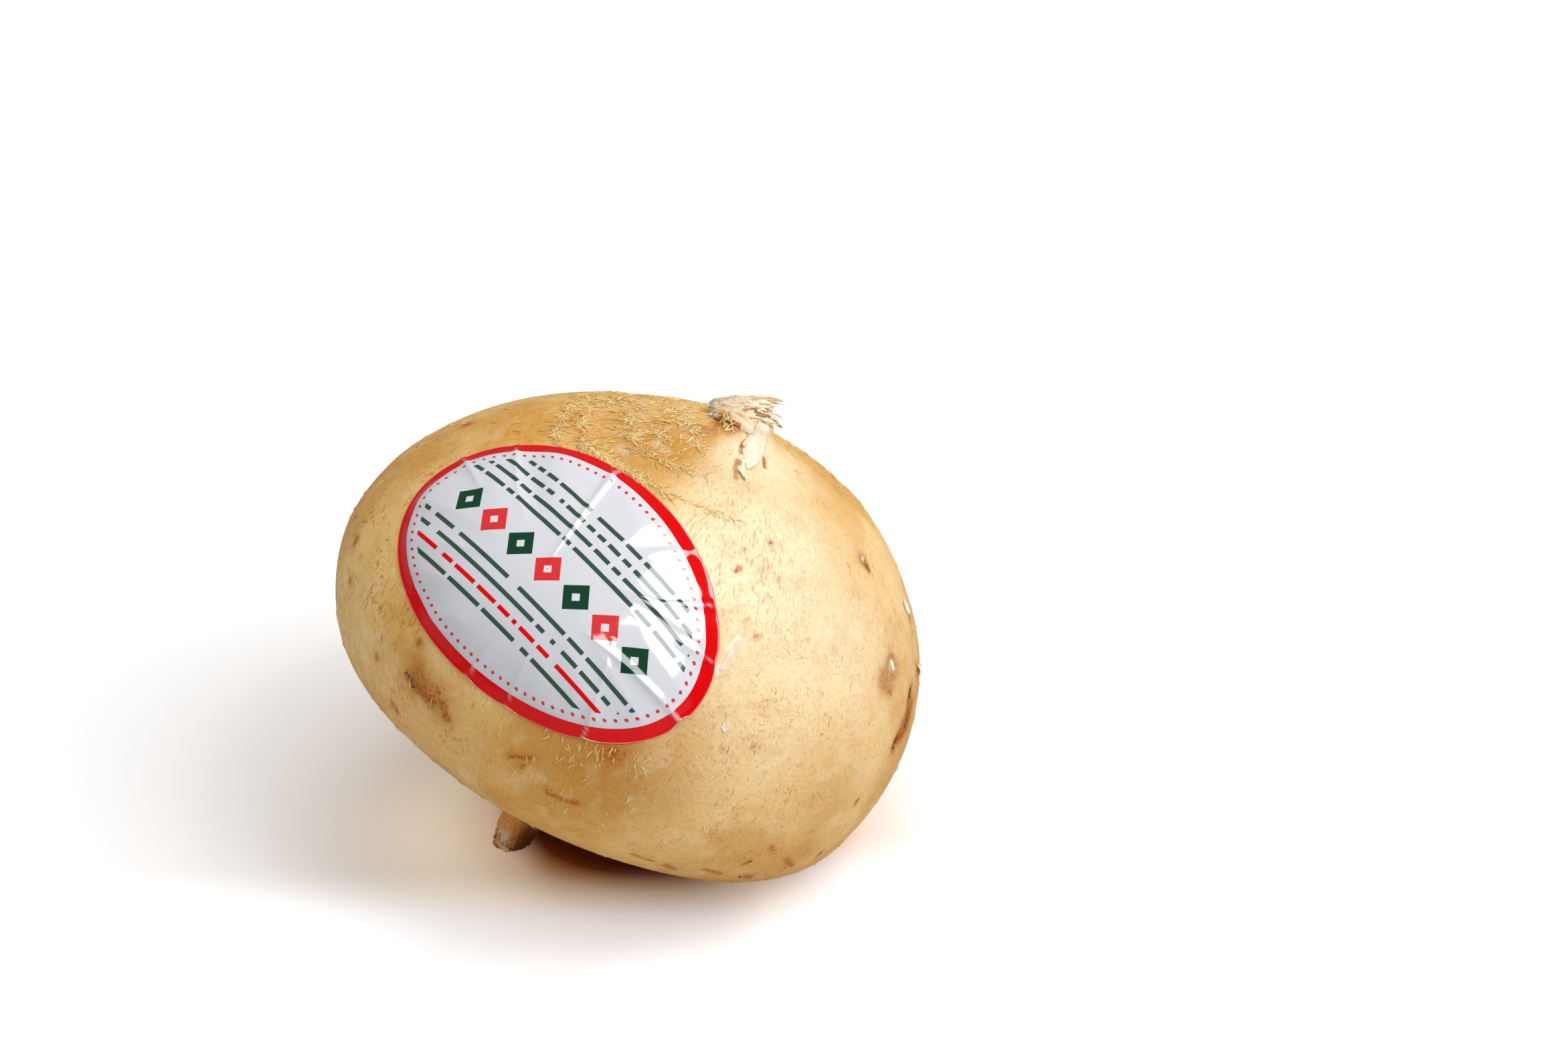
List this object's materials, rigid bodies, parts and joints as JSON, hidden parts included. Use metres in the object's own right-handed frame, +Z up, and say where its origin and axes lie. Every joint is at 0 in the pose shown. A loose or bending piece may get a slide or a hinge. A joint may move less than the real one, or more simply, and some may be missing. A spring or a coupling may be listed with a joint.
{
  "type": "jicama root",
  "caption": "Whole jicama: a squat round root lying over on its belly and tail stub, with a dry stem scar on its crown and a plain oval sticker on its front shoulder.",
  "frame": {"origin": "middle of the root's bounding box, at the level of the surface that it lies on", "axes": "+Z up from the surface, the root's shortest extent; +Y away from the side that carries the sticker; the crown leans towards +X and a little away towards +Y, and the tail stub points down towards -X"},
  "size_m": [0.1134, 0.1162, 0.0911],
  "materials": {
    "root_skin": "matte, thin papery tan skin with golden fibres, fine cracks and brown scars",
    "sticker_film": "glossy white film with a red rim, creased over the round of the root"
  },
  "bodies": {
    "root": {"jicama_root": "root_skin", "oval_sticker": "sticker_film"}
  },
  "joints": []
}
